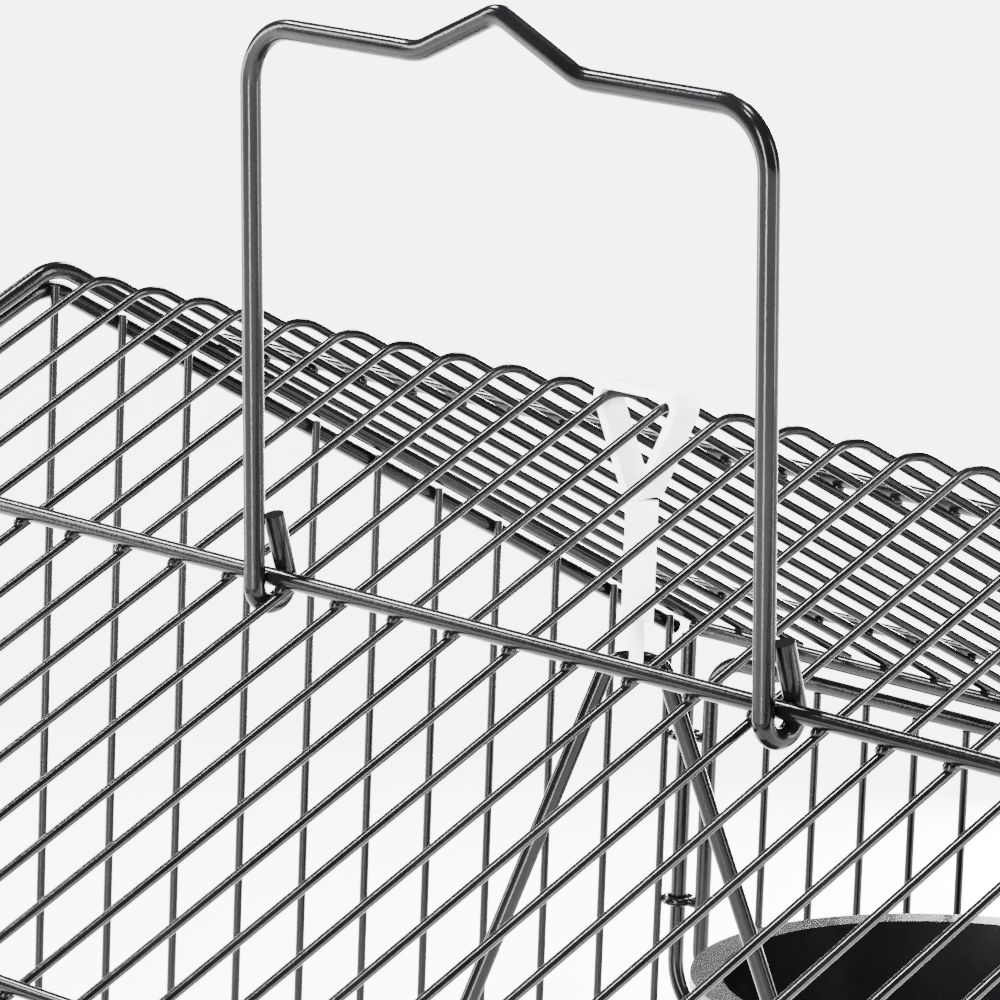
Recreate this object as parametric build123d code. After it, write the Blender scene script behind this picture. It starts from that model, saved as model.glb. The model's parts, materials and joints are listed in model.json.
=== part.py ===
from build123d import *
import math
import os

# Wire bird cage with a gable roof, a carrying handle, sliding and swinging doors,
# a hanging swing and a plastic base with a pull-out tray.
# Millimetres. X runs along the ridge, Y from front to back, Z up.
# The origin is at the centre of the footprint, on the surface that the base stands on.

# Overall layout
wire_pitch = 12.5            # spacing of the roof, front and back wires
roof_bays = 28               # gaps between roof wires from one end frame to the other
end_pitch = 15.0             # spacing of the upright wires in the two end walls
end_bays = 20                # gaps between upright end wires
end_edge_gap = 5.0           # last end wire to the corner
roof_angle = 26.8            # slope of each roof half, degrees
eave_height = 332.0          # centre of the eave rails above the floor

# Wire diameters
thin_wire = 1.5              # upright wires and roof wires
frame_wire = 3.0             # frames, corner posts, eave rails
rail_wire = 2.2              # horizontal wall rails
bar_wire = 2.7               # bar on the roof that carries the handle
handle_wire = 3.2
weld_gap = 0.02              # paint film between two welded wires
slide_gap = 0.3              # clearance between pieces that move past each other

# Roof
ridge_bend = 9.0             # bend of the roof wires over the ridge
ridge_rounding = 0.6         # share of the bend's drop that the end wires are cut back by
eave_overhang = 4.0          # roof wire past the eave rail, along the slope
bar_from_ridge = 62.3        # handle bar, along the front slope
back_bar_from_ridge = 40.0   # stiffening bar, along the back slope
lower_bar_from_eave = 21.0   # lower stiffening bar, along both slopes

# Handle
handle_span = 107.6          # leg centre to leg centre
handle_centre_x = 1.15
handle_lean = 2.8            # degrees forward of upright at rest
handle_height = 84.0         # bar centre to the straight part of the grip
handle_peak = 7.5            # rise of the hanging notch above the grip
handle_peak_half = 16.9      # half width of the notch
handle_corner = 9.0
hook_tail = 9.4              # free end of each hook above the bar
hook_drop = 4.15             # bar centre down to the foot of the hook
hook_bend = 3.08             # the tighter bend of the hook, on the leg's side
hook_gap = 0.15              # hook to bar, each side
tail_slant = 14.7            # tail towards the leg, degrees

# Walls
sill_height = 92.0           # lower wall rail
lintel_height = 212.0        # upper wall rail
corner_bend = 6.0
gable_end_gap = 1.5          # gable frame's ends to the corner

# Base
tub_rim = 52.0
tub_wall = 2.5
tub_corner = 10.5
tub_clearance = 0.5          # bottom rail to the tub
tub_floor = 3.0
ledge_width = 8.0
ledge_thickness = 6.0
tray_clearance = 1.0
tray_wall = 2.0
tray_rise = 28.0
tray_front = 3.0             # thickness of the tray's front panel
slot_bottom = 4.5            # tray slot in the front of the tub
slot_inset = 10.5            # slot's side to the inside of the tub's ledge
panel_overlap = 2.0          # tray's front panel past the slot, top and bottom
panel_side_overlap = 6.0
runner_width = 8.0
runner_inset = 12.0          # runner to the tray's side and ends
grip_width = 80.0            # finger lip of the tray
grip_depth = 9.0
grip_thickness = 3.0

# Front door, which lifts
door_bays = 9                # gaps between wall wires across the front door
door_wire = 2.5
door_overlap = 3.0           # door frame past the opening, top and bottom
guide_wire = 2.2
door_pull_width = 24.0
door_pull_reach = 9.0
pull_bend = 4.0
pull_drop = 22.0             # top of the door frame to the upper cross wire and the pull
lower_cross_rise = 30.0      # foot of the door frame to the lower cross wire
guide_drop = 12.0            # eave to the top of the guide wires
guide_bend = 2.6

# Feeding doors in the back wall, which swing
feed_width = 80.0            # door frame, centre to centre
feed_height = 64.0
feed_first_gap = 15.0        # door frame post to its first wire
feed_margin = 6.5            # door frame to the opening frame, centre to centre
feed_top_gap = 5.0           # eave rail centre to the door frame's top wire
feed_corner = 8.0
feed_post_inset = 0.4        # opening post to the corner of the walls
eye_wire = 1.6

# Bowls
bowl_radius = 45.0           # ring centre line
bowl_ring_wire = 2.5
bowl_depth = 34.0
bowl_wall = 2.0
bowl_lip = 3.5               # width of the rolled rim over the ring
bowl_x = 55.0
bowl_below_eave = 38.0
bowl_from_wall = 50.0
bowl_foot_share = 0.72       # foot radius over the body's radius
bowl_shoulder = 15.3         # depth at which the bowl's side starts to taper
ring_arm_half = 18.75        # half the distance between the two arms of a ring
ring_hook = 22.0             # arm's end down the wall
ring_bend = 3.0

# Swing
swing_x = -31.25
swing_turn = 46.7            # direction of the perch from +X, degrees
swing_wire = 2.8
swing_drop = 42.0            # ridge to the top of the swing wire
swing_height = 112.0
swing_half_width = 44.0
swing_arch = 4.0
swing_perch_radius = 6.0
swing_perch_overhang = 7.0
swing_perch_sink = 2.0       # perch centre under the wire's foot
seat_play = 0.4              # wire to its seat in the perch
seat_run = 20.0              # cut along the wire for its seat
strap_bend = 2.0
strap_width = 5.0
strap_thickness = 1.4
strap_half_span = 9.6        # half width of the strap's loop at the ridge
strap_join = 18.0            # ridge to the point where the two legs meet
eye_inner = 3.3              # inside radius of the strap's lower eye
eye_thickness = 2.2

# Perches
perch_radius = 6.0
perch_x = 93.75
perch_above_sill = 58.0      # left perch above the lower wall rail
perch_below_lintel = 22.0    # right perch under the upper wall rail
cap_radius = 9.5
cap_length = 11.0
cap_groove_depth = 4.0

# Base clips
clip_width = 9.0
clip_thickness = 2.4
clip_pivot_height = 30.0
clip_pin_radius = 1.6
clip_pin_gap = 0.08
clip_lug = 3.0
clip_reach = 9.0
lug_height = 12.8

# Sizes that follow from the ones above
half_length = wire_pitch * roof_bays / 2
half_depth = end_pitch * end_bays / 2 + end_edge_gap
slope = math.radians(roof_angle)
thin_r = thin_wire / 2
frame_r = frame_wire / 2
rail_r = rail_wire / 2
bar_r = bar_wire / 2
handle_r = handle_wire / 2
wire_lift = frame_r + thin_r + weld_gap
ridge_height = eave_height + wire_lift / math.cos(slope) + half_depth * math.tan(slope)
bar_lift = thin_r + bar_r + weld_gap


def slope_point(x, from_ridge, lift, side=-1):
    """A point over the roof: distance down the slope, height above the wire plane, -1 front or 1 back."""
    y = from_ridge * math.cos(slope) + lift * math.sin(slope)
    z = ridge_height - from_ridge * math.sin(slope) + lift * math.cos(slope)
    return Vector(x, side * y, z)


eave_from_ridge = (half_depth + wire_lift * math.sin(slope)) / math.cos(slope)
roof_end = eave_from_ridge + eave_overhang
bottom_rail_z = tub_rim - 0.5 - frame_r


def rod(start, end, diameter):
    """A straight round wire."""
    start = Vector(start)
    run = Vector(end) - start
    return Solid.make_cylinder(diameter / 2, run.length, Plane(origin=start, z_dir=run))


def bent(points, bends, diameter, close=False):
    """A round wire bent at each corner of a run of points."""
    path = FilletPolyline(*points, radius=bends, close=close)
    section = Plane(origin=path @ 0, z_dir=path % 0) * Circle(diameter / 2)
    return sweep(section, path=path)


def save(name, *solids):
    """One file for each named piece, or for a group of like wires."""
    flat = []
    for item in solids:
        flat.extend(item.solids())
    shape = flat[0] if len(flat) == 1 else Compound(children=[Solid(s.wrapped) for s in flat])
    export_step(shape, f"parts/{name}.step")


def fuse(*solids):
    body = solids[0]
    for other in solids[1:]:
        body = body + other
    return body


def wall_wires(places, low, high, make, gaps=()):
    """Upright wires of one wall. A gap is (first place, last place, bottom, top)."""
    wires = []
    for place in places:
        top = high(place)
        runs = [(low, top)]
        for first, last, bottom, ceiling in gaps:
            if first < place < last:
                runs = [(low, bottom), (ceiling, top)] if ceiling < top else [(low, bottom)]
        wires.extend(rod(make(place, a), make(place, b), thin_wire) for a, b in runs)
    return wires


os.makedirs("parts", exist_ok=True)


# Roof: one wire for each pitch, bent over the ridge
def roof_bow(x, diameter, bend):
    points = [slope_point(x, roof_end, 0, -1), (x, 0, ridge_height), slope_point(x, roof_end, 0, 1)]
    return bent(points, bend, diameter)


roof_places = [wire_pitch * (i - roof_bays / 2) for i in range(1, roof_bays)]
save("roof_wires", *[roof_bow(x, thin_wire, ridge_bend) for x in roof_places])
save("roof_end_bow_left", roof_bow(-half_length, frame_wire, ridge_bend))
save("roof_end_bow_right", roof_bow(half_length, frame_wire, ridge_bend))

bar_half = half_length - frame_r - weld_gap


def roof_bar(from_ridge, side, diameter):
    """A bar across the outside of the roof wires, between the end bows."""
    lift = thin_r + diameter / 2 + weld_gap
    return rod(slope_point(-bar_half, from_ridge, lift, side), slope_point(bar_half, from_ridge, lift, side), diameter)


save("handle_bar", roof_bar(bar_from_ridge, -1, bar_wire))
save("back_roof_bar", roof_bar(back_bar_from_ridge, 1, bar_wire))
lower_bar = eave_from_ridge - lower_bar_from_eave
save("lower_roof_bars", roof_bar(lower_bar, -1, rail_wire), roof_bar(lower_bar, 1, rail_wire))

eave_half = half_length - frame_r - weld_gap
for name, side in (("eave_rail_front", -1), ("eave_rail_back", 1)):
    y = side * half_depth
    save(name, rod((-eave_half, y, eave_height), (eave_half, y, eave_height), frame_wire))


# Handle: one wire with a notch for a hanging hook and a hook at each foot
bar_point = slope_point(0, bar_from_ridge, bar_lift, -1)
hook_offset = bar_r + hook_gap + handle_r
slant = math.radians(tail_slant)
left_leg = handle_centre_x - handle_span / 2
right_leg = handle_centre_x + handle_span / 2
corner_back = hook_offset / math.cos(slant) + hook_drop * math.tan(slant)
tail_back = hook_offset / math.cos(slant) - hook_tail * math.tan(slant)
tail_bend = 0.97 * (corner_back + hook_offset - hook_bend) / math.tan((math.pi / 2 + slant) / 2)


def handle_point(x, back, up):
    """A point of the handle: behind and above the bar's centre, turned with the handle's lean."""
    lean_angle = math.radians(handle_lean)
    y = back * math.cos(lean_angle) - up * math.sin(lean_angle)
    z = back * math.sin(lean_angle) + up * math.cos(lean_angle)
    return (x, bar_point.Y + y, bar_point.Z + z)


def handle_path():
    points = [
        handle_point(left_leg, tail_back, hook_tail),
        handle_point(left_leg, corner_back, -hook_drop),
        handle_point(left_leg, -hook_offset, -hook_drop),
        handle_point(left_leg, -hook_offset, handle_height),
        handle_point(handle_centre_x - handle_peak_half, -hook_offset, handle_height),
        handle_point(handle_centre_x, -hook_offset, handle_height + handle_peak),
        handle_point(handle_centre_x + handle_peak_half, -hook_offset, handle_height),
        handle_point(right_leg, -hook_offset, handle_height),
        handle_point(right_leg, -hook_offset, -hook_drop),
        handle_point(right_leg, corner_back, -hook_drop),
        handle_point(right_leg, tail_back, hook_tail),
    ]
    bends = [
        tail_bend, hook_bend, handle_corner, handle_corner,
        handle_corner / 2, handle_corner, handle_corner, hook_bend, tail_bend,
    ]
    return points, bends


points, bends = handle_path()
save("handle", bent(points, bends, handle_wire))

# End walls: gable frame outside, upright wires up to the roof's end bow
frame_lift = frame_r + thin_r + weld_gap
gable_x = half_length + frame_lift
gable_inset = frame_wire + slide_gap


def gable_frame(side):
    """A bent wire that follows the gable just under the roof's end bow."""
    x = side * gable_x
    drop = gable_inset / math.cos(slope)
    foot_y = half_depth - gable_end_gap
    shoulder = ridge_height - drop - foot_y * math.tan(slope)
    return bent([(x, -foot_y, shoulder), (x, 0, ridge_height - drop), (x, foot_y, shoulder)], ridge_bend, frame_wire)


def gable_top(y):
    """Upper end of an end wall wire, just under the end bow."""
    rounded = max(0.0, ridge_bend * math.sin(slope) - abs(y)) * math.tan(slope) * ridge_rounding
    return ridge_height - abs(y) * math.tan(slope) - (frame_r + thin_r) / math.cos(slope) - rounded


end_places = [end_pitch * (i - end_bays / 2) for i in range(end_bays + 1)]
wire_foot = bottom_rail_z - frame_r
for name, side in (("left", -1), ("right", 1)):
    x = side * half_length
    save(f"end_wires_{name}", *wall_wires(end_places, wire_foot, gable_top, lambda y, z, x=x: (x, y, z)))
    save(f"gable_frame_{name}", gable_frame(side))


# Wall rails: loops round the outside of the upright wires
def rail_loop(z, diameter, bend):
    """A rail round the cage, butt welded at the middle of the back."""
    reach = thin_r + diameter / 2 + weld_gap
    a = half_length + reach
    b = half_depth + reach
    path = [(weld_gap, b, z), (a, b, z), (a, -b, z), (-a, -b, z), (-a, b, z), (-weld_gap, b, z)]
    return bent(path, bend, diameter)


save("bottom_rail", rail_loop(bottom_rail_z, frame_wire, tub_corner - tub_wall - tub_clearance - frame_r))
save("sill_rail", rail_loop(sill_height, rail_wire, corner_bend))
save("lintel_rail", rail_loop(lintel_height, rail_wire, corner_bend))

# Front wall with the opening of the lifting door
front_places = [wire_pitch * (i - roof_bays / 2 + 0.5) for i in range(1, roof_bays - 1)]
door_half = wire_pitch * door_bays / 2
eave_foot = eave_height - frame_r - weld_gap
front_gap = (-door_half + 1, door_half - 1, sill_height, lintel_height)
save(
    "front_wires",
    *wall_wires(front_places, wire_foot, lambda x: eave_foot, lambda x, z: (x, -half_depth, z), [front_gap]),
)

# Back wall with two feeding doors close to the corners
feed_top = eave_height - feed_top_gap
feed_bottom = feed_top - feed_height
open_bottom = feed_bottom - feed_margin
open_outer = half_length - feed_post_inset
open_inner = open_outer - feed_width - 2 * feed_margin
back_gap_bottom = open_bottom - frame_r - weld_gap
back_gaps = [
    (-open_outer, -open_inner, back_gap_bottom, eave_height),
    (open_inner, open_outer, back_gap_bottom, eave_height),
]
back_places = [x for x in front_places if abs(abs(x) - open_inner) > frame_wire]
save(
    "back_wires",
    *wall_wires(back_places, wire_foot, lambda x: eave_foot, lambda x, z: (x, half_depth, z), back_gaps),
)


def opening_frame(side):
    """A U of thick wire that hangs from the eave rail round a feeding door."""
    path = [
        (side * open_outer, half_depth, eave_foot),
        (side * open_outer, half_depth, open_bottom),
        (side * open_inner, half_depth, open_bottom),
        (side * open_inner, half_depth, eave_foot),
    ]
    return bent(path, feed_corner + feed_margin / 2, frame_wire)


door_outer = open_outer - feed_margin
door_inner = open_inner + feed_margin
eye_radius = frame_r + slide_gap + eye_wire / 2


def feeding_door_frame(side):
    """A rounded door frame with two eyes round the outer post of its opening."""
    a = side * door_outer
    b = side * door_inner
    middle = (feed_top + feed_bottom) / 2
    loop = [(x, half_depth, z) for x, z in ((b, feed_top), (a, feed_top), (a, feed_bottom), (b, feed_bottom))]
    body = bent(loop, feed_corner, frame_wire, close=True)
    for z in (feed_bottom + feed_height / 4, feed_top - feed_height / 4):
        centre = (side * open_outer, half_depth, z)
        eye = Solid.make_torus(eye_radius, eye_wire / 2, Plane(origin=centre))
        stem = rod((side * (open_outer - eye_radius), half_depth, z), (a, half_depth, z), eye_wire)
        body = fuse(body, eye, stem)
    latch_y = half_depth + frame_r + slide_gap + eye_wire / 2
    tab = bent(
        [
            (b, half_depth, middle),
            (b, latch_y, middle),
            (side * (open_inner - frame_r - 2), latch_y, middle),
        ],
        eye_wire * 0.75,
        eye_wire,
    )
    return fuse(body, tab)


def feeding_door_wires(side):
    """Upright wires inside a feeding door."""
    count = int(round((feed_width - 2 * feed_first_gap) / wire_pitch)) + 1
    step = (feed_width - 2 * feed_first_gap) / (count - 1)
    low = feed_bottom + frame_r + weld_gap
    high = feed_top - frame_r - weld_gap
    wires = []
    for i in range(count):
        x = side * (door_outer - feed_first_gap - i * step)
        wires.append(rod((x, half_depth, low), (x, half_depth, high), thin_wire))
    return wires


for name, side in (("left", -1), ("right", 1)):
    save(f"feeding_opening_{name}", opening_frame(side))
    save(f"feeding_door_{name}", feeding_door_frame(side))
    save(f"feeding_door_wires_{name}", *feeding_door_wires(side))

# Front door: a framed grid that lifts behind two guide wires
rail_front = half_depth + thin_r + rail_wire + weld_gap
door_y = -(rail_front + slide_gap + door_wire / 2)
door_low = sill_height - door_overlap
door_high = lintel_height + door_overlap


def front_door_frame():
    corners = ((1, door_high), (-1, door_high), (-1, door_low), (1, door_low))
    return bent([(side * door_half, door_y, z) for side, z in corners], corner_bend / 1.5, door_wire, close=True)


door_places = [x for x in front_places if abs(x) < door_half - 1]
door_wires = []
for x in door_places:
    low = (x, door_y, door_low + door_wire / 2 + weld_gap)
    high = (x, door_y, door_high - door_wire / 2 - weld_gap)
    door_wires.append(rod(low, high, thin_wire))
save("front_door_frame", front_door_frame())
save("front_door_wires", *door_wires)

pull_z = door_high - pull_drop
cross_y = door_y - thin_r - rail_r - weld_gap
cross_reach = door_half - guide_wire / 2 - 2 * slide_gap
save(
    "front_door_cross_wires",
    *[rod((-cross_reach, cross_y, z), (cross_reach, cross_y, z), rail_wire) for z in (pull_z, door_low + lower_cross_rise)],
)
pull_root = cross_y - rail_r - weld_gap
save(
    "front_door_pull",
    bent(
        [
            (-door_pull_width / 2, pull_root, pull_z),
            (-door_pull_width / 2, pull_root - door_pull_reach, pull_z),
            (door_pull_width / 2, pull_root - door_pull_reach, pull_z),
            (door_pull_width / 2, pull_root, pull_z),
        ],
        pull_bend,
        guide_wire,
    ),
)

guide_y = door_y - door_wire / 2 - slide_gap - guide_wire / 2
guide_low = door_low - door_wire / 2 - weld_gap - guide_wire / 2
guide_high = eave_height - guide_drop
guide_root = -half_depth - thin_r - weld_gap
for name, side in (("left", -1), ("right", 1)):
    x = side * door_half
    path = [(x, guide_root, guide_low), (x, guide_y, guide_low), (x, guide_y, guide_high), (x, guide_root, guide_high)]
    save(f"door_guide_{name}", bent(path, guide_bend, guide_wire))

# Base tub with a slot for the tray
rail_reach = thin_r + frame_wire + weld_gap
tub_inner_x = half_length + rail_reach + tub_clearance
tub_inner_y = half_depth + rail_reach + tub_clearance
tub_x = tub_inner_x + tub_wall
tub_y = tub_inner_y + tub_wall
ledge_top = bottom_rail_z - frame_r - weld_gap
ledge_low = ledge_top - ledge_thickness
tub_low = 0.0
throat_x = tub_inner_x - ledge_width
throat_y = tub_inner_y - ledge_width
slot_x = throat_x - slot_inset


def rounded_block(half_x, half_y, low, high, corner):
    plane = Plane(origin=(0, 0, low))
    return extrude(plane * RectangleRounded(2 * half_x, 2 * half_y, corner), high - low)


def base_tub():
    body = rounded_block(tub_x, tub_y, tub_low, tub_rim, tub_corner)
    body -= rounded_block(tub_inner_x, tub_inner_y, ledge_top, tub_rim + 1, tub_corner - tub_wall)
    body -= rounded_block(throat_x, throat_y, tub_low + tub_floor, tub_rim, tub_corner - tub_wall)
    body -= Pos(0, -tub_y, (slot_bottom + ledge_low) / 2) * Box(2 * slot_x, 4 * ledge_width, ledge_low - slot_bottom)
    for side in (-1, 1):
        for reach in (-1, 1):
            lug_y = clip_y + reach * (clip_width / 2 + slide_gap + clip_lug / 2)
            body += Pos(side * (tub_x + clip_out / 2), lug_y, clip_pivot_height) * Box(clip_out, clip_lug, lug_height)
    for side in (-1, 1):
        ends = [(side * clip_axis_x, clip_y + r * (clip_width / 2 + slide_gap + clip_lug), clip_pivot_height) for r in (-1, 1)]
        body += rod(ends[0], ends[1], 2 * clip_pin_radius)
    return body


clip_y = end_pitch / 2
clip_out = 2 * (clip_pin_radius + clip_thickness)
clip_axis_x = tub_x + clip_out / 2 + slide_gap
save("base_tub", base_tub())
tray_x = slot_x - tray_clearance
tray_back = throat_y - tray_clearance
tray_low = slot_bottom + tray_clearance
tray_top = tray_low + tray_rise
front_face = -tub_y - slide_gap


def tray():
    """An open tray whose front panel covers the slot."""
    depth = tray_back - front_face
    centre_y = (tray_back + front_face) / 2
    body = Pos(0, centre_y, (tray_low + tray_top) / 2) * Box(2 * tray_x, depth, tray_rise)
    body -= Pos(0, centre_y, (tray_low + tray_top) / 2 + tray_wall) * Box(
        2 * (tray_x - tray_wall), depth - 2 * tray_wall, tray_rise
    )
    panel_low = slot_bottom - panel_overlap
    panel_high = ledge_low + panel_overlap
    panel = Pos(0, front_face - tray_front / 2, (panel_low + panel_high) / 2)
    body += panel * Box(2 * (slot_x + panel_side_overlap), tray_front, panel_high - panel_low)
    grip_z = panel_high - grip_thickness / 2
    body += Pos(0, front_face - tray_front - grip_depth / 2, grip_z) * Box(grip_width, grip_depth, grip_thickness)
    return body


save("tray", tray())
runner_height = tray_low - tub_low - tub_floor
save(
    "tray_runners",
    *[
        Pos(side * (tray_x - runner_inset), 0, tub_low + tub_floor + (runner_height - weld_gap) / 2)
        * Box(runner_width, 2 * (tray_back - runner_inset), runner_height - weld_gap)
        for side in (-1, 1)
    ],
)


# Base clips: each turns on a pin in the tub and reaches over the bottom rail
def base_clip(side):
    x = side * clip_axis_x
    eye_outer = clip_pin_radius + clip_pin_gap + clip_thickness
    top = tub_rim + slide_gap + clip_thickness
    body = Pos(x, clip_y, clip_pivot_height) * Rot(90, 0, 0) * Cylinder(eye_outer, clip_width)
    plate_x = x + side * (eye_outer - clip_thickness / 2)
    body += Pos(plate_x, clip_y, (clip_pivot_height + top) / 2) * Box(clip_thickness, clip_width, top - clip_pivot_height)
    reach_x = side * (tub_inner_x - clip_reach / 2)
    finger = abs(plate_x) + clip_thickness / 2 - abs(reach_x)
    body += Pos((plate_x + side * clip_thickness / 2 + reach_x) / 2, clip_y, top - clip_thickness / 2) * Box(
        finger, clip_width, clip_thickness
    )
    body -= Pos(x, clip_y, clip_pivot_height) * Rot(90, 0, 0) * Cylinder(clip_pin_radius + clip_pin_gap, clip_width + 2)
    return body


save("base_clip_left", base_clip(-1))
save("base_clip_right", base_clip(1))

# Perches between the front and back walls, gripped by grooved caps
cap_face = half_depth - thin_r - weld_gap + cap_groove_depth
perch_reach = cap_face - cap_length
perch_height_left = sill_height + perch_above_sill
perch_height_right = lintel_height - perch_below_lintel
for name, side, z in (("left", -1, perch_height_left), ("right", 1, perch_height_right)):
    save(f"perch_{name}", rod((side * perch_x, -perch_reach, z), (side * perch_x, perch_reach, z), 2 * perch_radius))
caps = []
for side, z in ((-1, perch_height_left), (1, perch_height_right)):
    for end in (-1, 1):
        start = Vector(side * perch_x, end * (perch_reach + weld_gap), z)
        cap = rod(start, (side * perch_x, end * cap_face, z), 2 * cap_radius)
        groove_y = end * (cap_face - cap_groove_depth / 2)
        cap -= Pos(side * perch_x, groove_y, z) * Box(thin_wire + 2 * slide_gap, cap_groove_depth, 3 * cap_radius)
        caps.append(cap)
save("perch_caps", *caps)


# Bowls: a wire ring hooked to the back wall, and a bowl that lifts out of it
def bowl_ring(side):
    z = eave_height - bowl_below_eave
    centre_y = half_depth - bowl_from_wall
    ring = Solid.make_torus(bowl_radius, bowl_ring_wire / 2, Plane(origin=(side * bowl_x, centre_y, z)))
    arms = []
    for offset in (-1, 1):
        x = side * bowl_x + offset * ring_arm_half
        ring_y = centre_y + math.sqrt(bowl_radius**2 - ring_arm_half**2)
        wall_y = half_depth - thin_r - slide_gap - bowl_ring_wire / 2
        arms.append(bent([(x, ring_y, z), (x, wall_y, z), (x, wall_y, z - ring_hook)], ring_bend, bowl_ring_wire))
    return fuse(ring, *arms)


def bowl(side):
    z = eave_height - bowl_below_eave + bowl_ring_wire / 2 + weld_gap
    inner = bowl_radius - bowl_ring_wire / 2 - slide_gap - bowl_wall
    outer = inner + bowl_wall
    rim = bowl_radius + bowl_lip / 2
    foot = outer * bowl_foot_share
    with BuildPart() as shell:
        with BuildSketch(Plane.XZ):
            with BuildLine():
                Polyline(
                    (0, -bowl_depth), (foot, -bowl_depth), (outer, -bowl_shoulder), (outer, 0), (rim, 0),
                    (rim, bowl_wall), (inner, bowl_wall), (inner, bowl_wall / 3 - bowl_shoulder),
                    (foot - bowl_wall, bowl_wall - bowl_depth), (0, bowl_wall - bowl_depth), (0, -bowl_depth),
                )
            make_face()
        revolve(axis=Axis.Z)
    return Pos(side * bowl_x, half_depth - bowl_from_wall, z) * shell.part


for name, side in (("left", -1), ("right", 1)):
    save(f"bowl_ring_{name}", bowl_ring(side))
    save(f"bowl_{name}", bowl(side))

# Swing strap: a loop over two roof wires, a neck and a lower eye
ridge_top = ridge_height - ridge_bend * (1 / math.cos(slope) - 1) + thin_r
loop_top = ridge_top + slide_gap / 3 + strap_thickness / 2
swing_top = ridge_height - swing_drop
turn = math.radians(swing_turn)


def strap_band(points, bends, close=False):
    path = FilletPolyline(*points, radius=bends, close=close)
    frame = Plane(origin=path @ 0, x_dir=(0, 1, 0), z_dir=path % 0)
    return sweep(frame * Rectangle(strap_width, strap_thickness), path=path)


def swing_strap():
    join = ridge_top - strap_join
    eye_radius = eye_inner + eye_thickness / 2
    eye_middle = swing_top - swing_wire / 2 - slide_gap - eye_thickness / 2 + eye_radius
    eye_high = eye_middle + eye_radius
    loop = strap_band(
        [(swing_x + strap_half_span, 0, loop_top), (swing_x, 0, join), (swing_x - strap_half_span, 0, loop_top)],
        strap_bend,
        close=True,
    )
    neck_length = join + strap_thickness - eye_high
    neck = Pos(swing_x, 0, eye_high + neck_length / 2) * Rot(0, 0, swing_turn) * Box(
        strap_width, strap_thickness, neck_length
    )
    along = Vector(math.cos(turn), math.sin(turn), 0)
    eye = Solid.make_torus(eye_radius, eye_thickness / 2, Plane(origin=(swing_x, 0, eye_middle), z_dir=along))
    return fuse(loop, neck, eye)


save("swing_strap", swing_strap())


# Swing: a bent wire hung in the strap's eye, with a round perch across its foot
def swing_point(along, z):
    return (swing_x + along * math.cos(turn), along * math.sin(turn), z)


swing_foot = swing_top - swing_height
perch_half = swing_half_width + swing_perch_overhang
swing_path = [
    swing_point(-swing_half_width, swing_foot),
    swing_point(-swing_arch, swing_top),
    swing_point(swing_arch, swing_top),
    swing_point(swing_half_width, swing_foot),
]
save("swing_wire", bent(swing_path, swing_arch * 0.9, swing_wire))
perch_z = swing_foot - swing_perch_sink
lean = (swing_half_width - swing_arch) / swing_height
swing_perch = rod(swing_point(-perch_half, perch_z), swing_point(perch_half, perch_z), 2 * swing_perch_radius)
for side in (-1, 1):
    seat_low = swing_point(side * (swing_half_width + seat_play * lean), swing_foot - seat_play)
    seat_high = swing_point(side * (swing_half_width - seat_run * lean), swing_foot + seat_run)
    swing_perch -= rod(seat_low, seat_high, swing_wire + 2 * seat_play)
save("swing_perch", swing_perch)

print("ridge height", round(ridge_height, 2), "handle bar centre", [round(v, 3) for v in bar_point])
print("handle axis y z", round(bar_point.Y, 3), round(bar_point.Z, 3))
print("clip axis x z", round(clip_axis_x, 3), clip_pivot_height)
print("feeding door axis x y", round(open_outer, 3), half_depth)
print("swing axis", swing_x, 0, round(swing_top, 3))
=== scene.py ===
# %% [markdown]
# A wire bird cage with a gable roof. Every wire, door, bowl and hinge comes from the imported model,
# which has its real size and moves at its real joints. This script adds what a maker adds last:
# the weld beads where wires cross, the black enamel, the wood of the perches, the moulded plastics,
# and the studio. Everything is in metres, with X along the ridge, Y to the back and Z up.

# %% Load the frame
import bmesh
import bpy
import json
import math
import random
from mathutils import Matrix, Vector


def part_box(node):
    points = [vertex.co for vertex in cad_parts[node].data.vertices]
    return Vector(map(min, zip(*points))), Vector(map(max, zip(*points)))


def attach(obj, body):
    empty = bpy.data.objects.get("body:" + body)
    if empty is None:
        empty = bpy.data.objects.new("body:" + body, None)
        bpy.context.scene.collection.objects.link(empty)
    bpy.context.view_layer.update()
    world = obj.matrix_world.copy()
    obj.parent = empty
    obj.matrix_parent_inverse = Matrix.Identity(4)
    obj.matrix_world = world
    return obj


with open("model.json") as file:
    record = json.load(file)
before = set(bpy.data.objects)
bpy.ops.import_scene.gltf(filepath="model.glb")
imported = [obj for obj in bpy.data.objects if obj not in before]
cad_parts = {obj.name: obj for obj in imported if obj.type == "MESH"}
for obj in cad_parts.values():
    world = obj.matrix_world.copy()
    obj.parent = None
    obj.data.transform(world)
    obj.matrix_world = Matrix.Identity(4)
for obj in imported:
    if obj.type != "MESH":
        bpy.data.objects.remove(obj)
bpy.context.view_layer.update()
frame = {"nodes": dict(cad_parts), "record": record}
MM = 0.001


# %% [markdown]
# Shader maths reads best as arithmetic. A small class wraps a socket, so that an expression such
# as `grain * 0.03 + 0.11` adds the Math nodes by itself. Any other node comes from one method,
# which takes the node's type, its settings and the values or links of its sockets.

# %% A socket that does arithmetic
class Wire:
    """One output socket of a material, with Python's operators."""

    def __init__(self, tree, socket):
        self.tree = tree
        self.socket = socket

    def math(self, operation, first, second):
        return node(self.tree, "ShaderNodeMath", {"operation": operation}, {0: first, 1: second})

    def __add__(self, other):
        return self.math("ADD", self, other)

    def __radd__(self, other):
        return self.math("ADD", other, self)

    def __mul__(self, other):
        return self.math("MULTIPLY", self, other)

    def __rmul__(self, other):
        return self.math("MULTIPLY", other, self)


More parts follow.
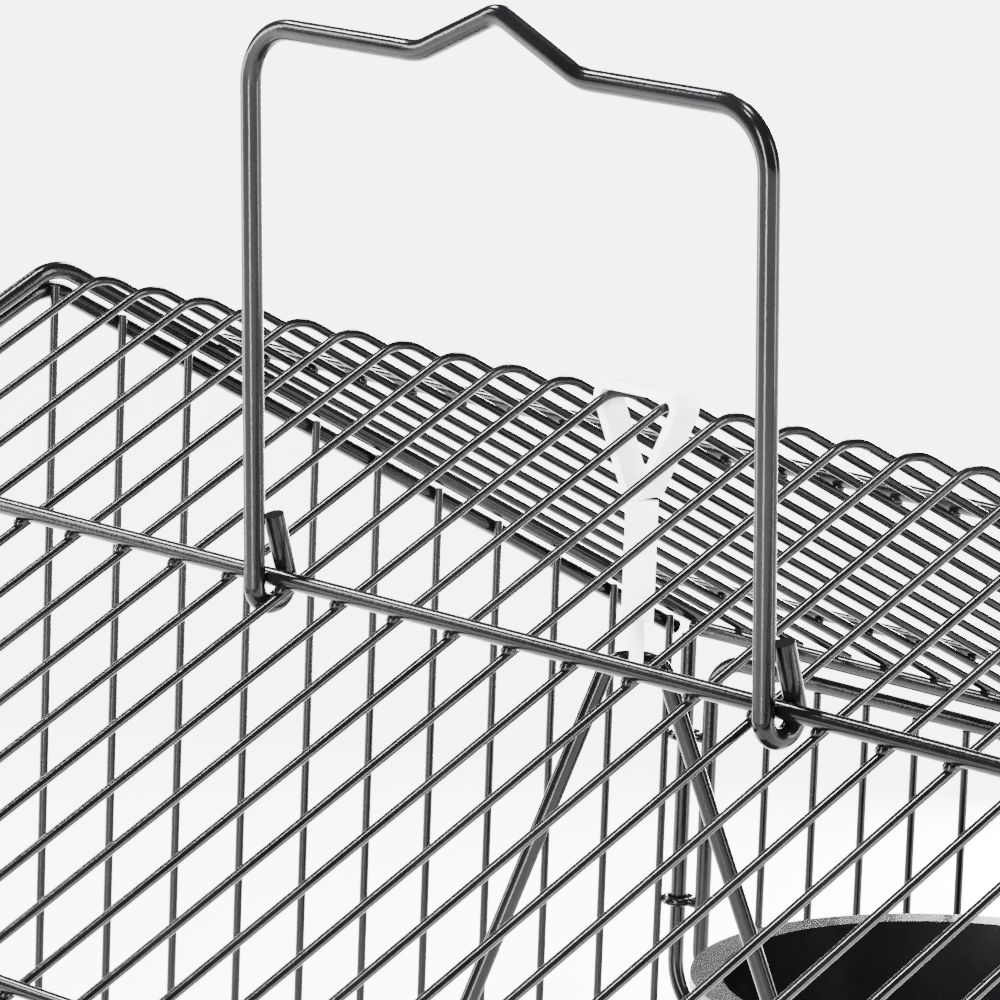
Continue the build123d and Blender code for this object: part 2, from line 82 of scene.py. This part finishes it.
def node(tree, kind, settings=None, sockets=None, output=0):
    """Any node: settings first, then values or links for its sockets. Returns one of its outputs."""
    made = tree.nodes.new(kind)
    for name, value in (settings or {}).items():
        if name == "stops":
            ramp = made.color_ramp.elements
            for element, (position, colour) in zip(ramp, value):
                element.position = position
                element.color = (*colour, 1.0)
        else:
            setattr(made, name, value)
    for key, value in (sockets or {}).items():
        if isinstance(value, Wire):
            tree.links.new(value.socket, made.inputs[key])
        else:
            made.inputs[key].default_value = value
    return Wire(tree, made.outputs[output])


# %% [markdown]
# Every finish here is one Principled surface. What changes over it comes from noise in object
# coordinates, so its grain keeps its real size on a long wire and on a small cap alike. Four
# helpers keep the recipes short: where to look, a noise, a blend of two colours, and a bump.

# %% Helpers for the finishes
def finish_material(name, build):
    """A material whose surface is one Principled shader, with sockets set by build(tree)."""
    material = bpy.data.materials.new(name)
    material.use_nodes = True
    tree = material.node_tree
    tree.nodes.clear()
    surface = node(tree, "ShaderNodeBsdfPrincipled", {}, build(tree))
    node_out = tree.nodes.new("ShaderNodeOutputMaterial")
    tree.links.new(surface.socket, node_out.inputs["Surface"])
    print(name, len(tree.nodes), "shader nodes")
    return material


def place(tree, stretch=(1.0, 1.0, 1.0)):
    """Object coordinates in metres, stretched along each axis."""
    coordinates = node(tree, "ShaderNodeTexCoord", {}, {}, output="Object")
    return node(tree, "ShaderNodeMapping", {}, {"Vector": coordinates, "Scale": stretch})


def noise(tree, vector, scale, detail=3.0, rough=0.5):
    sockets = {"Vector": vector, "Scale": scale, "Detail": detail, "Roughness": rough}
    return node(tree, "ShaderNodeTexNoise", {}, sockets, output="Fac")


def two_tone(tree, factor, first, second, low=0.35, high=0.65):
    """A colour that runs from first to second as factor goes from low to high."""
    stops = ((low, first), (high, second))
    return node(tree, "ShaderNodeValToRGB", {"stops": stops}, {"Fac": factor}, output="Color")


def bump(tree, height, strength, depth):
    return node(tree, "ShaderNodeBump", {}, {"Height": height, "Strength": strength, "Distance": depth})


# %% [markdown]
# The cage is dipped or sprayed with gloss black enamel over steel wire. Enamel is nearly black,
# with a hard, clear skin, and it isn't flat: it pulls into faint waves a few millimetres long and
# is a little duller in patches where it is thin or handled. The waves go into the bump and the
# patches into the roughness. The colour stays close to black and only drifts a little.

# %% Black enamel
ENAMEL_DARK = (0.0015, 0.0015, 0.0018)
ENAMEL_THIN = (0.004, 0.004, 0.0045)
ENAMEL_ROUGHNESS = 0.11
ENAMEL_REFLECTION = 0.14
WAVE_SCALE = 260.0
WAVE_SHARE = 0.7
GRAIN_SCALE = 1500.0
GRAIN_DULLING = 0.03
PATCH_SCALE = 45.0
PATCH_DULLING = 0.08
SKIN_STRENGTH = 0.22
SKIN_DEPTH = 0.25 * MM


def enamel(tree):
    where = place(tree)
    waves = noise(tree, where, WAVE_SCALE, detail=2.0)
    grain = noise(tree, where, GRAIN_SCALE, detail=2.0)
    patches = noise(tree, where, PATCH_SCALE)
    height = waves * WAVE_SHARE + grain * (1 - WAVE_SHARE)
    return {
        "Base Color": two_tone(tree, patches, ENAMEL_DARK, ENAMEL_THIN),
        "Roughness": patches * PATCH_DULLING + grain * GRAIN_DULLING + ENAMEL_ROUGHNESS,
        "Normal": bump(tree, height, SKIN_STRENGTH, SKIN_DEPTH),
        "Specular IOR Level": ENAMEL_REFLECTION,
    }


black_enamel = finish_material("black_enamel", enamel)

# %% [markdown]
# The base and the tray are injection moulded in black plastic with a fine satin texture that the
# mould gives them. Handling wears it in broad, faint patches that are a little paler, and fine
# scuffs run from left to right. Both go into the roughness, and the texture is a shallow bump.

# %% Satin black plastic
PLASTIC_DEEP = (0.0028, 0.0028, 0.0032)
PLASTIC_WORN = (0.0058, 0.0058, 0.0064)
SATIN_ROUGHNESS = 0.30
SATIN_REFLECTION = 0.22
TEXTURE_SCALE = 2600.0
TEXTURE_STRENGTH = 0.25
TEXTURE_DEPTH = 0.12 * MM
HANDLED_SCALE = 14.0
HANDLED_DULLING = 0.16
SCUFF_SCALE = 120.0
SCUFF_STRETCH = (1.0, 9.0, 9.0)
SCUFF_DULLING = 0.08


def satin_plastic(tree):
    where = place(tree)
    texture = noise(tree, where, TEXTURE_SCALE, detail=2.0)
    handled = noise(tree, where, HANDLED_SCALE, detail=4.0)
    scuffs = noise(tree, place(tree, SCUFF_STRETCH), SCUFF_SCALE)
    return {
        "Base Color": two_tone(tree, handled, PLASTIC_DEEP, PLASTIC_WORN),
        "Roughness": handled * HANDLED_DULLING + scuffs * SCUFF_DULLING + SATIN_ROUGHNESS,
        "Normal": bump(tree, texture, TEXTURE_STRENGTH, TEXTURE_DEPTH),
        "Specular IOR Level": SATIN_REFLECTION,
    }


base_plastic = finish_material("satin_black_plastic", satin_plastic)

# %% [markdown]
# The bowls and the small caps and clips are the same plastic from a smoother mould. Their surface
# shows how the plastic flowed, as slow waves, and a little dust that dulls it in fine specks.

# %% Gloss black plastic
GLOSS_ROUGHNESS = 0.16
GLOSS_REFLECTION = 0.35
FLOW_SCALE = 30.0
FLOW_DULLING = 0.1
FLOW_SHARE = 0.8
DUST_SCALE = 700.0
DUST_DULLING = 0.06
GLOSS_STRENGTH = 0.12
GLOSS_DEPTH = 0.4 * MM


def gloss_plastic(tree):
    where = place(tree)
    flow = noise(tree, where, FLOW_SCALE, detail=2.0)
    dust = noise(tree, where, DUST_SCALE, detail=2.0)
    height = flow * FLOW_SHARE + dust * (1 - FLOW_SHARE)
    return {
        "Base Color": two_tone(tree, flow, PLASTIC_DEEP, PLASTIC_WORN),
        "Roughness": flow * FLOW_DULLING + dust * DUST_DULLING + GLOSS_ROUGHNESS,
        "Normal": bump(tree, height, GLOSS_STRENGTH, GLOSS_DEPTH),
        "Specular IOR Level": GLOSS_REFLECTION,
    }


bowl_plastic = finish_material("gloss_black_plastic", gloss_plastic)

# %% [markdown]
# The perches are turned from beech. Its grain runs along the rod as long, thin streaks with short
# dark flecks, so one noise is stretched a great deal along Y, the way the long perches lie. The
# swing's perch lies at an angle to X and Y, so its wood is stretched less, and along both alike.

# %% Turned beech
BEECH_PALE = (0.62, 0.43, 0.25)
BEECH_WARM = (0.44, 0.27, 0.14)
BEECH_ROUGHNESS = 0.45
STREAK_SCALE = 240.0
STREAK_DULLING = 0.15
FLECK_SCALE = 900.0
FLECK_SHARE = 0.35
PORE_STRENGTH = 0.35
PORE_DEPTH = 0.3 * MM
ALONG_Y = (1.0, 0.06, 1.0)
ALONG_BOTH = (0.4, 0.4, 1.0)


def beech(stretch):
    def build(tree):
        along = place(tree, stretch)
        streaks = noise(tree, along, STREAK_SCALE, detail=4.0, rough=0.6)
        flecks = noise(tree, along, FLECK_SCALE, detail=2.0)
        tone = streaks * (1 - FLECK_SHARE) + flecks * FLECK_SHARE
        return {
            "Base Color": two_tone(tree, tone, BEECH_WARM, BEECH_PALE, low=0.38, high=0.6),
            "Roughness": streaks * STREAK_DULLING + BEECH_ROUGHNESS,
            "Normal": bump(tree, tone, PORE_STRENGTH, PORE_DEPTH),
        }

    return build


perch_wood = finish_material("beech_along_y", beech(ALONG_Y))
swing_wood = finish_material("beech_across", beech(ALONG_BOTH))

# %% [markdown]
# The strap that carries the swing is soft white plastic, slightly milky, with the dull sheen that
# such plastic has, and faint lines along its length.

# %% White strap plastic
STRAP_WHITE = (0.86, 0.86, 0.89)
STRAP_SHADE = (0.74, 0.75, 0.80)
STRAP_ROUGHNESS = 0.35
LINE_SCALE = 900.0
LINE_STRETCH = (1.0, 1.0, 0.15)
LINE_DULLING = 0.2
LINE_STRENGTH = 0.2
LINE_DEPTH = 0.2 * MM
CLOUD_SCALE = 160.0
MILKINESS = 0.15
MILK_DEPTH = 2.0 * MM


def strap_plastic(tree):
    lines = noise(tree, place(tree, LINE_STRETCH), LINE_SCALE, detail=2.0)
    clouds = noise(tree, place(tree), CLOUD_SCALE)
    return {
        "Base Color": two_tone(tree, clouds, STRAP_SHADE, STRAP_WHITE),
        "Roughness": lines * LINE_DULLING + STRAP_ROUGHNESS,
        "Normal": bump(tree, lines, LINE_STRENGTH, LINE_DEPTH),
        "Subsurface Weight": MILKINESS,
        "Subsurface Scale": MILK_DEPTH,
    }


strap_white = finish_material("white_strap_plastic", strap_plastic)

# %% [markdown]
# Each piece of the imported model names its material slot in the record, so the finishes are given
# out by slot. Only the swing's perch differs, because its grain runs another way.

# %% Give out the finishes
FINISHES = {
    "black_wire": black_enamel,
    "base_plastic": base_plastic,
    "tray_plastic": base_plastic,
    "bowl_plastic": bowl_plastic,
    "cap_plastic": bowl_plastic,
    "perch_wood": perch_wood,
    "strap_plastic": strap_white,
}


def paint(piece, material):
    piece.data.materials.clear()
    piece.data.materials.append(material)


for part in frame["record"]["subparts"]:
    paint(frame["nodes"][part["node"]], FINISHES[part["material_slot"]])
paint(frame["nodes"]["swing_perch"], swing_wood)


# %% [markdown]
# Where two wires cross they are spot welded, and the enamel then gathers in the corner between
# them. From close by each crossing shows a small rounded lump on the lower side of the bar. Each
# lump is a squashed sphere, turned to lie in its corner, with its size varied a little from a
# fixed seed, because no two welds are the same. All the lumps of one place are one mesh.

# %% One bead, and one piece made of beads
WELD_SEED = 7
BEAD_SMALLEST = 0.85
BEAD_LARGEST = 1.15
BEAD_ROUNDNESS = 2
random.seed(WELD_SEED)


def bead(mesh, centre, axes, size):
    """One lump: centre, three unit directions and its half size along each."""
    wobble = [s * random.uniform(BEAD_SMALLEST, BEAD_LARGEST) for s in size]
    turn = Matrix([[axes[c][r] * wobble[c] for c in range(3)] for r in range(3)]).to_4x4()
    lie = Matrix.Translation(centre) @ turn
    bmesh.ops.create_icosphere(mesh, subdivisions=BEAD_ROUNDNESS, radius=1.0, matrix=lie)


def bead_piece(name, beads, body):
    mesh = bmesh.new()
    for centre, axes, size in beads:
        bead(mesh, centre, axes, size)
    data = bpy.data.meshes.new(name)
    mesh.to_mesh(data)
    mesh.free()
    data.shade_smooth()
    piece = bpy.data.objects.new(name, data)
    bpy.context.scene.collection.objects.link(piece)
    paint(piece, black_enamel)
    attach(piece, body)
    print(name, len(beads), "beads")


# %% [markdown]
# The beads have to sit on the real crossings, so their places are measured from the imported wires:
# the box of a row of wires gives its first and last wire, and the count gives the spacing.

# %% Where the wires are
THIN_WIRE = 1.5 * MM
ROOF_WIRES = 27


def middle(name):
    lo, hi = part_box(name)
    return (Vector(lo) + Vector(hi)) / 2


def wire_places(name, axis, count):
    """Where the evenly spaced wires of a node lie along an axis."""
    lo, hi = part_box(name)
    radius = THIN_WIRE / 2
    first = lo[axis] + radius
    step = (hi[axis] - lo[axis] - THIN_WIRE) / (count - 1)
    return [first + step * i for i in range(count)]


roof_x = wire_places("roof_wires", 0, ROOF_WIRES)
print("roof wires from", round(roof_x[0], 5), "to", round(roof_x[-1], 5))

# %% [markdown]
# Four bars cross the roof wires, two on each slope. Their beads hang on the inner side of the bar
# and a little downhill, where wet enamel runs to. The back slope mirrors the front one.

# %% Weld beads of the roof
ROOF_SLOPE = math.radians(26.8)
DOWN_FRONT = Vector((0, -math.cos(ROOF_SLOPE), -math.sin(ROOF_SLOPE)))
OUT_FRONT = Vector((0, -math.sin(ROOF_SLOPE), math.cos(ROOF_SLOPE)))
ALONG_RIDGE = Vector((1, 0, 0))
FRONT_TO_BACK = Vector((1, -1, 1))
BAR_WIRE = 2.7 * MM
RAIL_WIRE = 2.2 * MM
RAIL_RADIUS = RAIL_WIRE / 2
BAR_BEAD = (1.05 * MM, 1.35 * MM, 0.8 * MM)
SMALL_BEAD = (1.0 * MM, 1.0 * MM, 0.8 * MM)
BEAD_INWARD = 0.50
BEAD_DOWNHILL = 0.28


def mirrored(vector):
    return Vector(a * b for a, b in zip(vector, FRONT_TO_BACK))


def roof_beads(bar_y, bar_z, bar_wire, down, out, size):
    """Beads under a roof bar, one for each wire that it crosses."""
    found = []
    for x in roof_x:
        on_bar = Vector((x, bar_y, bar_z))
        centre = on_bar - out * (bar_wire * BEAD_INWARD) + down * (bar_wire * BEAD_DOWNHILL)
        found.append((centre, (ALONG_RIDGE, down, out), size))
    return found


down_back, out_back = mirrored(DOWN_FRONT), mirrored(OUT_FRONT)
front_bar = middle("handle_bar")
back_bar = middle("back_roof_bar")
low_lo, low_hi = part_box("lower_roof_bars")
low_z = (low_lo[2] + low_hi[2]) / 2
beads = roof_beads(front_bar.y, front_bar.z, BAR_WIRE, DOWN_FRONT, OUT_FRONT, BAR_BEAD)
beads += roof_beads(back_bar.y, back_bar.z, BAR_WIRE, down_back, out_back, BAR_BEAD)
beads += roof_beads(low_lo[1] + RAIL_RADIUS, low_z, RAIL_WIRE, DOWN_FRONT, OUT_FRONT, SMALL_BEAD)
beads += roof_beads(low_hi[1] - RAIL_RADIUS, low_z, RAIL_WIRE, down_back, out_back, SMALL_BEAD)
bead_piece("weld_beads_roof", beads, "cage")

# %% [markdown]
# The walls have the same lumps where the upright wires pass behind their rails. The back wall has
# no wire beside the inner post of a feeding opening, so it has no bead there either.

# %% Weld beads of the walls
TO_BACK = Vector((0, 1, 0))
UP = Vector((0, 0, 1))
FRONT_WIRES = 26
END_WIRES = 21
FRAME_WIRE = 3.0 * MM
WALL_BEAD = (0.95 * MM, 0.75 * MM, 0.95 * MM)
BELOW_RAIL = 0.4
BEHIND_RAIL = 0.9
front_x = wire_places("front_wires", 0, FRONT_WIRES)
end_y = wire_places("end_wires_left", 1, END_WIRES)
feed_post_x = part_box("feeding_opening_right")[0][0] + FRAME_WIRE / 2


def wall_beads(rail):
    """Beads under one rail, all the way round the cage."""
    lo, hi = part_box(rail)
    z = (lo[2] + hi[2]) / 2 - RAIL_WIRE * BELOW_RAIL
    depth = RAIL_WIRE * BEHIND_RAIL
    found = []
    for x in front_x:
        found.append((Vector((x, lo[1] + depth, z)), (ALONG_RIDGE, TO_BACK, UP), WALL_BEAD))
        if abs(abs(x) - feed_post_x) > MM:
            found.append((Vector((x, hi[1] - depth, z)), (ALONG_RIDGE, TO_BACK, UP), WALL_BEAD))
    for y in end_y:
        found.append((Vector((lo[0] + depth, y, z)), (TO_BACK, ALONG_RIDGE, UP), WALL_BEAD))
        found.append((Vector((hi[0] - depth, y, z)), (TO_BACK, ALONG_RIDGE, UP), WALL_BEAD))
    return found


bead_piece("weld_beads_walls", wall_beads("sill_rail") + wall_beads("lintel_rail"), "cage")

# %% [markdown]
# The roof wires meet the two eave rails in the same way, with a lump on the outer, upper side.

# %% Weld beads of the eaves
EAVE_BEAD_OUT = 1.0 * MM
EAVE_BEAD_UP = 1.25 * MM
eave_beads = []
for rail, side in (("eave_rail_front", -1), ("eave_rail_back", 1)):
    rail_middle = middle(rail)
    for x in roof_x:
        at = Vector((x, rail_middle.y + side * EAVE_BEAD_OUT, rail_middle.z + EAVE_BEAD_UP))
        eave_beads.append((at, (ALONG_RIDGE, TO_BACK, UP), SMALL_BEAD))
bead_piece("weld_beads_eaves", eave_beads, "cage")

# %% [markdown]
# The lifting door is welded the same way, from its upright wires to its two cross wires and its
# pull, and its beads travel with it.

# %% Weld beads of the front door
DOOR_WIRES = 8
DOOR_BEAD_FORWARD = 0.25 * MM
DOOR_BEAD_DOWN = 0.9 * MM
door_lo, door_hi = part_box("front_door_cross_wires")
pull_lo, pull_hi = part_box("front_door_pull")
top_cross_z = door_hi[2] - RAIL_RADIUS
door_beads = []
for z in (door_lo[2] + RAIL_RADIUS, top_cross_z):
    for x in wire_places("front_door_wires", 0, DOOR_WIRES):
        at = Vector((x, door_hi[1] - DOOR_BEAD_FORWARD, z - DOOR_BEAD_DOWN))
        door_beads.append((at, (ALONG_RIDGE, TO_BACK, UP), WALL_BEAD))
for x in (pull_lo[0] + RAIL_RADIUS, pull_hi[0] - RAIL_RADIUS):
    at = Vector((x, pull_hi[1], top_cross_z))
    door_beads.append((at, (ALONG_RIDGE, TO_BACK, UP), BAR_BEAD))
bead_piece("weld_beads_front_door", door_beads, "front_door")

# %% [markdown]
# The photographed cage stands on white, with a bright, even ground. A very large floor stands in
# for that. It glows by itself, so that it stays light away from the lamps. The world behind is a
# dim grey, so that the enamel has something dark to reflect and stays dark between its streaks.

# %% Floor and world
FLOOR_HALF = 40.0
FLOOR_DROP = 0.2 * MM
FLOOR_PALE = (0.90, 0.90, 0.90)
FLOOR_WHITE = (0.93, 0.93, 0.93)
FLOOR_CLOUD_SCALE = 0.8
FLOOR_ROUGHNESS = 0.9
FLOOR_REFLECTION = 0.1
FLOOR_GLOW = 1.8
WORLD_COLOUR = (0.93, 0.95, 1.0, 1.0)
WORLD_STRENGTH = 0.22


def floor_paint(tree):
    cloud = noise(tree, place(tree), FLOOR_CLOUD_SCALE, detail=2.0)
    return {
        "Base Color": two_tone(tree, cloud, FLOOR_PALE, FLOOR_WHITE),
        "Roughness": FLOOR_ROUGHNESS,
        "Specular IOR Level": FLOOR_REFLECTION,
        "Emission Color": (1.0, 1.0, 1.0, 1.0),
        "Emission Strength": FLOOR_GLOW,
    }


floor_mesh = bpy.data.meshes.new("studio_floor")
corners = [(FLOOR_HALF * x, FLOOR_HALF * y, 0) for x, y in ((-1, -1), (1, -1), (1, 1), (-1, 1))]
floor_mesh.from_pydata(corners, [], [(0, 1, 2, 3)])
floor = bpy.data.objects.new("studio_floor", floor_mesh)
bpy.context.scene.collection.objects.link(floor)
floor.location.z = -FLOOR_DROP
paint(floor, finish_material("studio_floor_white", floor_paint))

world = bpy.data.worlds.new("studio_world")
bpy.context.scene.world = world
world.use_nodes = True
background = world.node_tree.nodes["Background"]
background.inputs["Color"].default_value = WORLD_COLOUR
background.inputs["Strength"].default_value = WORLD_STRENGTH
print("floor", 2 * FLOOR_HALF, "m wide, world strength", WORLD_STRENGTH)


# %% [markdown]
# Three suns light the cage: one nearly overhead, one from the left and one from the front. A sun
# is even over the whole cage, and its disc is what a sloping wire mirrors as a narrow streak.

# %% Suns
def sun(name, strength, spread, azimuth, elevation):
    """A soft sun: azimuth 0 stands in front of the cage and 90 on its right."""
    data = bpy.data.lights.new(name, "SUN")
    data.energy = strength
    data.angle = math.radians(spread)
    lamp = bpy.data.objects.new(name, data)
    bpy.context.scene.collection.objects.link(lamp)
    a, e = math.radians(azimuth), math.radians(elevation)
    towards = Vector((math.sin(a) * math.cos(e), -math.cos(a) * math.cos(e), math.sin(e)))
    lamp.rotation_euler = towards.to_track_quat("Z", "Y").to_euler()
    print(name, "azimuth", azimuth, "elevation", elevation)


sun("top_sun", strength=9.0, spread=10, azimuth=180, elevation=84)
sun("left_sun", strength=4.0, spread=10, azimuth=-96, elevation=44)
sun("front_sun", strength=3.0, spread=8, azimuth=5, elevation=60)

# %% [markdown]
# An upright wire seen from a little above mirrors only what stands near the ground, so no light
# overhead can put a streak on it. Four tall strip lights round the cage do that, one for each
# side that it is looked at from. They reach down almost to the floor, and the camera doesn't see
# them. Each shines one way only, so the ground is brighter in front of a strip than behind it, and
# a view from the back shows that edge far behind the cage.

# %% Strip lights
STRIP_DISTANCE = 1.5
STRIP_WIDTH = 0.22
STRIP_HEIGHT = 1.5
STRIP_GAP = 0.01


def strip(name, watts, azimuth):
    """A tall lamp that faces the cage, with its azimuth counted as a sun's is."""
    data = bpy.data.lights.new(name, "AREA")
    data.shape = "RECTANGLE"
    data.size = STRIP_WIDTH
    data.size_y = STRIP_HEIGHT
    data.energy = watts
    lamp = bpy.data.objects.new(name, data)
    bpy.context.scene.collection.objects.link(lamp)
    a = math.radians(azimuth)
    away = Vector((math.sin(a), -math.cos(a), 0))
    lamp.location = away * STRIP_DISTANCE + Vector((0, 0, STRIP_HEIGHT / 2 + STRIP_GAP))
    lamp.rotation_euler = away.to_track_quat("Z", "Y").to_euler()
    lamp.visible_camera = False
    print(name, "azimuth", azimuth, "watts", watts)


strip("strip_front", watts=120, azimuth=24)
strip("strip_right", watts=45, azimuth=124)
strip("strip_back", watts=80, azimuth=215)
strip("strip_left", watts=60, azimuth=300)

# %% [markdown]
# The photograph is a close view of the roof and the handle from the front right and a little
# above, taken with a long lens. These values were worked out from where the wires cross the bar
# and bend over the ridge. The angles are in radians and the lens and sensor in millimetres.

# %% Camera
CAMERA_PLACE = Vector((0.65185, -0.67208, 0.57899))
CAMERA_YAW = -0.8163
CAMERA_PITCH = 0.1896
CAMERA_ROLL = 0.0373
LENS = 228.68
SENSOR_WIDTH = 36.0
NEAREST = 0.01
FARTHEST = 200.0

forward = Vector((
    math.sin(CAMERA_YAW) * math.cos(CAMERA_PITCH),
    math.cos(CAMERA_YAW) * math.cos(CAMERA_PITCH),
    -math.sin(CAMERA_PITCH),
))
level = Vector((math.cos(CAMERA_YAW), -math.sin(CAMERA_YAW), 0))
upright = level.cross(forward)
right = level * math.cos(CAMERA_ROLL) + upright * math.sin(CAMERA_ROLL)
up = upright * math.cos(CAMERA_ROLL) - level * math.sin(CAMERA_ROLL)
camera_turn = Matrix((right, up, -forward)).transposed().to_4x4()
camera_data = bpy.data.cameras.new("photo_camera")
camera_data.sensor_width = SENSOR_WIDTH
camera_data.lens = LENS
camera_data.clip_start = NEAREST
camera_data.clip_end = FARTHEST
camera = bpy.data.objects.new("photo_camera", camera_data)
bpy.context.scene.collection.objects.link(camera)
camera.matrix_world = Matrix.Translation(CAMERA_PLACE) @ camera_turn
bpy.context.scene.camera = camera
print("camera at", [round(v, 4) for v in CAMERA_PLACE], "lens", LENS)
